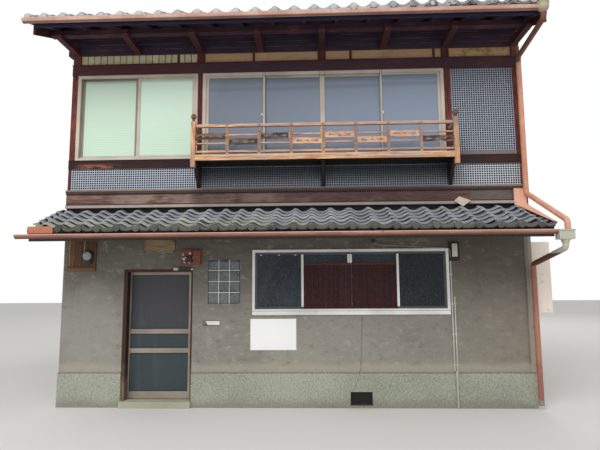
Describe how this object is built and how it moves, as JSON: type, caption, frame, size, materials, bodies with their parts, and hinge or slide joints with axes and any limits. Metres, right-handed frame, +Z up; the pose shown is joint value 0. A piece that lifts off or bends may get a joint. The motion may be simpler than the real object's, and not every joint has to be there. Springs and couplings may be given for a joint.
{
  "type": "machiya townhouse",
  "caption": "Two-storey timber townhouse with plastered walls, tiled main and pent roofs, a shallow railed balcony and a sliding entrance door.",
  "frame": {"origin": "centre of the wall footprint at ground level, on the underside of the ground floor slab", "axes": "street front faces -Y, +X is to the right seen from the street, +Z is up"},
  "size_m": [7.3, 9.5536, 7.5288],
  "materials": {
    "plinth": "stippled grey-green cement",
    "concrete": "worn pale concrete",
    "plaster": "grey sanded plaster",
    "dark_timber": "dark red-brown stained timber",
    "floor_boards": "plain boards",
    "frieze": "ochre boards",
    "mosaic": "small blue-grey glazed tiles with white joints",
    "rain_board": "weathered board",
    "roof_tile": "smoked clay pantiles with moss",
    "flashing": "faded pink sheet metal",
    "gutter": "faded red-brown gutter",
    "pale_pipe": "faded plastic pipe",
    "window_frame": "dull beige frames",
    "upper_glass": "grey-blue window glass",
    "lower_frame": "dull light grey frames",
    "lower_glass": "dark patterned glass",
    "reeds": "dark maroon reeds",
    "block_glass": "pressed glass blocks",
    "joint": "white mortar",
    "rail_metal": "dull brass rail",
    "door_leaf": "dull bronze aluminium",
    "door_glass": "dark frosted glass",
    "deck_timber": "weathered boards",
    "railing": "light weathered cedar",
    "fittings": "boards and small housings",
    "side_box": "cream painted housing"
  },
  "bodies": {
    "house": {"plinth_front": "plinth", "plinth_sides": "plinth", "ground_slab": "concrete", "threshold": "concrete", "front_wall_left": "plaster", "front_wall_right": "plaster", "wall_over_door": "plaster", "party_walls": "plaster", "rear_wall": "plaster", "side_cladding": "plaster", "front_beams": "dark_timber", "upper_floor": "floor_boards", "upper_posts": "dark_timber", "frieze_panels": "frieze", "mosaic_panels": "mosaic", "rain_board": "rain_board", "plate_beams": "dark_timber", "bracket_arms": "dark_timber", "eave_purlins": "dark_timber", "ridge_beam": "dark_timber", "rafters": "dark_timber", "roof_boards": "dark_timber", "roof_tiles_front": "roof_tile", "roof_tiles_rear": "roof_tile", "ridge_tiles": "roof_tile", "bargeboards": "dark_timber", "eave_boards": "dark_timber", "pent_rafters": "dark_timber", "pent_boards": "dark_timber", "pent_tiles": "roof_tile", "pent_flashing": "flashing", "gutters": "gutter", "upper_downpipe": "gutter", "lower_downpipe": "pale_pipe", "rear_downpipe": "gutter", "upper_window_frames": "window_frame", "upper_sashes": "window_frame", "upper_glass": "upper_glass", "lower_window_frame": "lower_frame", "lower_sashes": "lower_frame", "lower_glass": "lower_glass", "reed_screen": "reeds", "glass_blocks": "block_glass", "block_joints": "joint", "door_frame": "dark_timber", "door_track": "rail_metal", "balcony_deck": "deck_timber", "balcony_brackets": "deck_timber", "balcony_newels": "railing", "balcony_rails": "railing", "pierced_boards": "railing", "meter_board": "fittings", "switch_boards": "fittings", "letter_slot": "fittings", "conduits": "fittings", "door_lamp": "fittings", "side_box": "side_box"},
    "door": {"door_leaf": "door_leaf", "door_glass": "door_glass"}
  },
  "joints": [
    {"name": "door_slide", "type": "slide", "parent": "house", "child": "door", "axis": [1, 0, 0], "range_m": [0, 0.88]}
  ]
}
